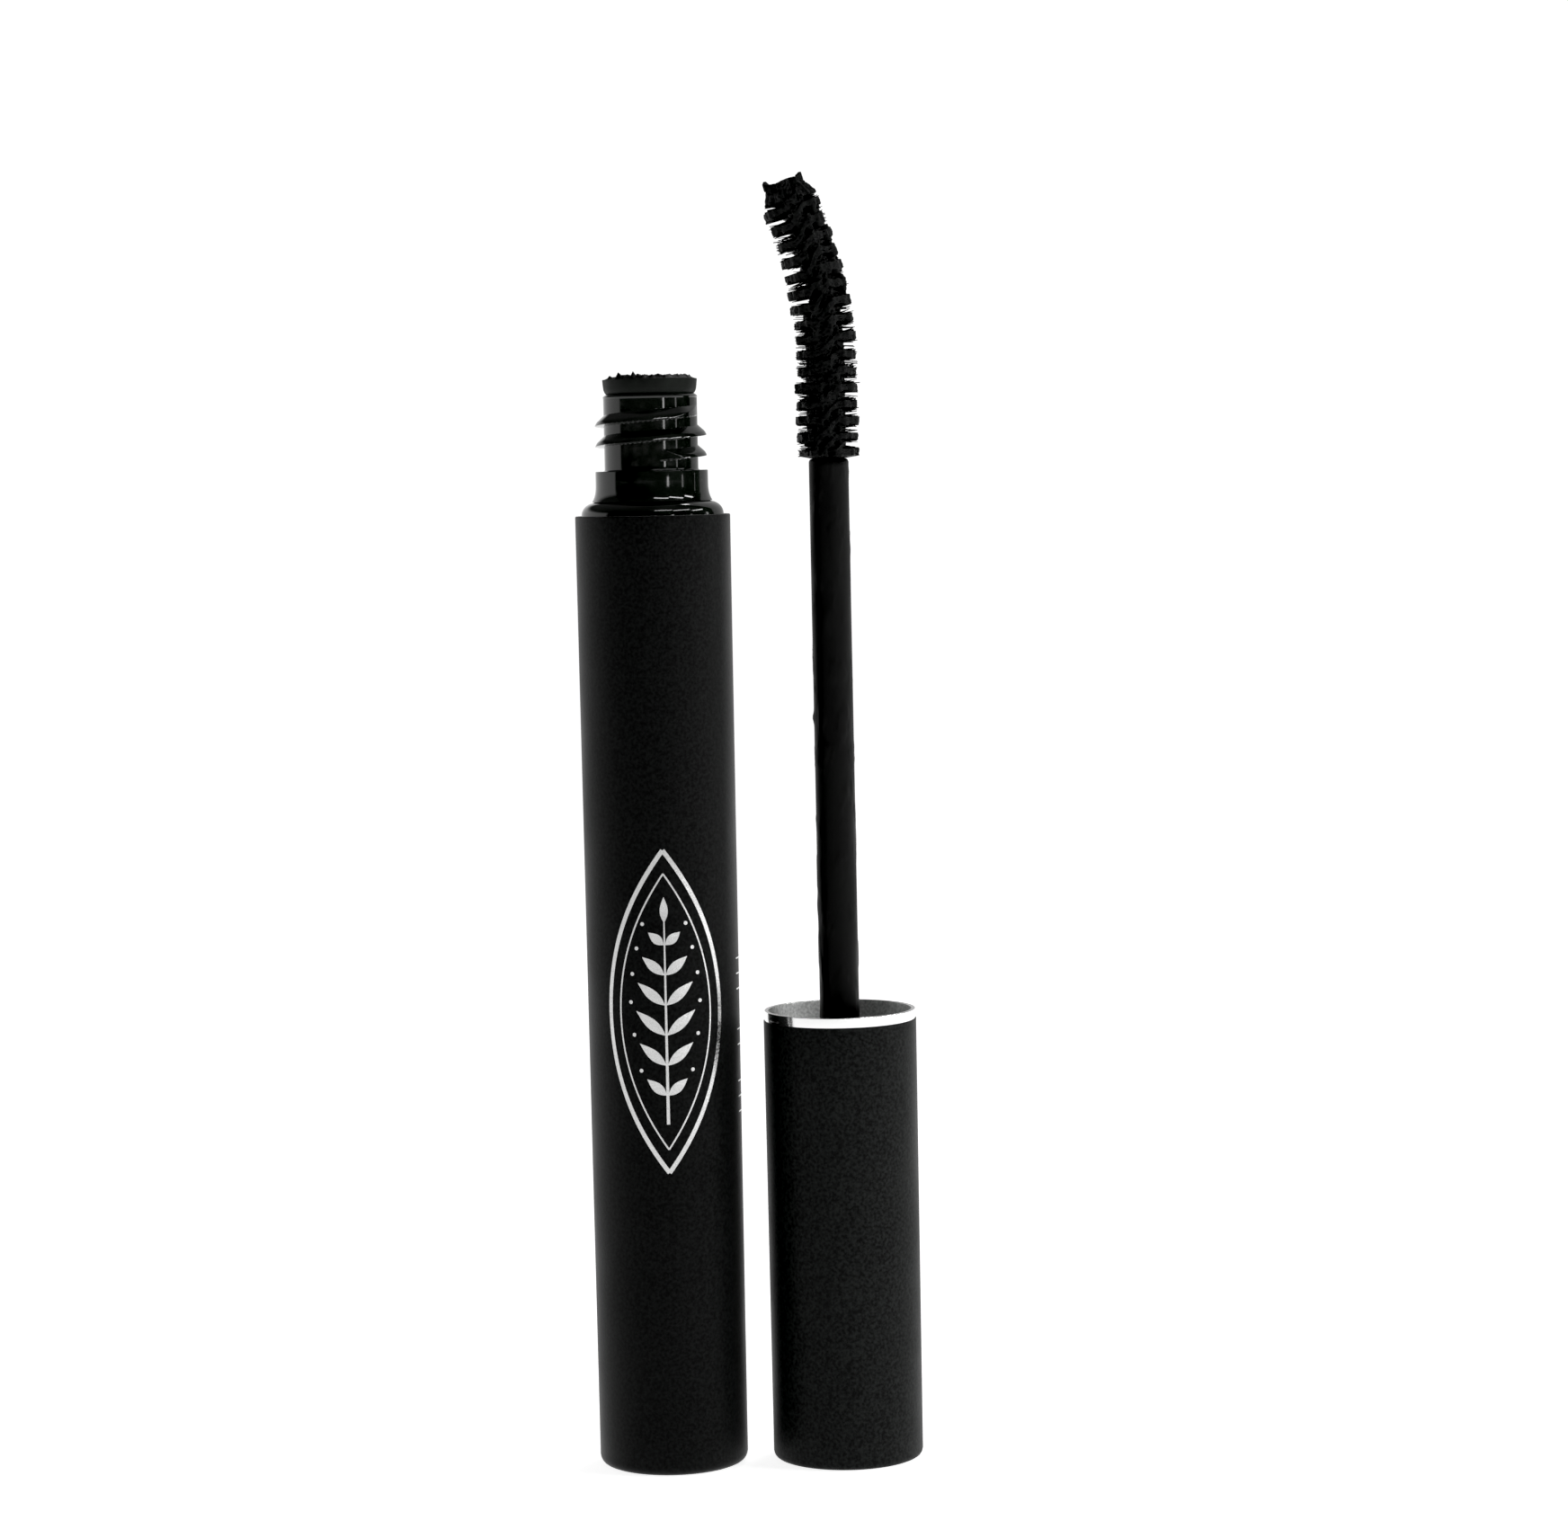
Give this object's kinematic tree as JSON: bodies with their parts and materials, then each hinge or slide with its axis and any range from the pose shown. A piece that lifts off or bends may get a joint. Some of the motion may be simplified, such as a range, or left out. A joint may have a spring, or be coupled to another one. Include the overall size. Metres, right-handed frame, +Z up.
{
  "type": "mascara tube",
  "caption": "Slim round mascara, open: threaded bottle with wiper, and its cap standing beside it with stem and curved twisted-wire brush.",
  "frame": {"origin": "centre of the bottle's base, on the surface it stands on", "axes": "+Z up along the bottle's axis; +X towards the applicator, which stands upside down on its cap; the brush bends towards -X"},
  "size_m": [0.0343, 0.016, 0.1335],
  "materials": {
    "matte_black_shell": "matt, fine grain",
    "smoke_plastic": "glossy, smoky, slightly translucent",
    "wiper_plastic": "soft satin, stained with mascara",
    "mascara": "black paste, satin where dry",
    "silver_metal": "bright, lightly brushed",
    "liner_plastic": "plain black moulding",
    "seal_foam": "soft, matt",
    "stem_plastic": "satin black",
    "wire_steel": "drawn wire",
    "bristle_fibre": "fine fibres coated with mascara"
  },
  "bodies": {
    "bottle": {"bottle_sleeve": "matte_black_shell", "inner_bottle": "smoke_plastic", "neck_wiper": "wiper_plastic", "mascara_fill": "mascara"},
    "washer": {"seal_washer": "seal_foam"},
    "applicator": {"cap_shell": "matte_black_shell", "trim_ring": "silver_metal", "inner_cap": "liner_plastic", "stem": "stem_plastic", "core_wire": "wire_steel", "bristles": "bristle_fibre"}
  },
  "joints": [
    {"name": "applicator_lift", "type": "slide", "parent": "bottle", "child": "washer", "axis": [0, 0, 1], "range_m": [0, 0.101]},
    {"name": "applicator_turn", "type": "hinge", "parent": "washer", "child": "applicator", "pos_m": [0.0183, 0, 0], "axis": [0, 0, 1], "continuous": true}
  ]
}
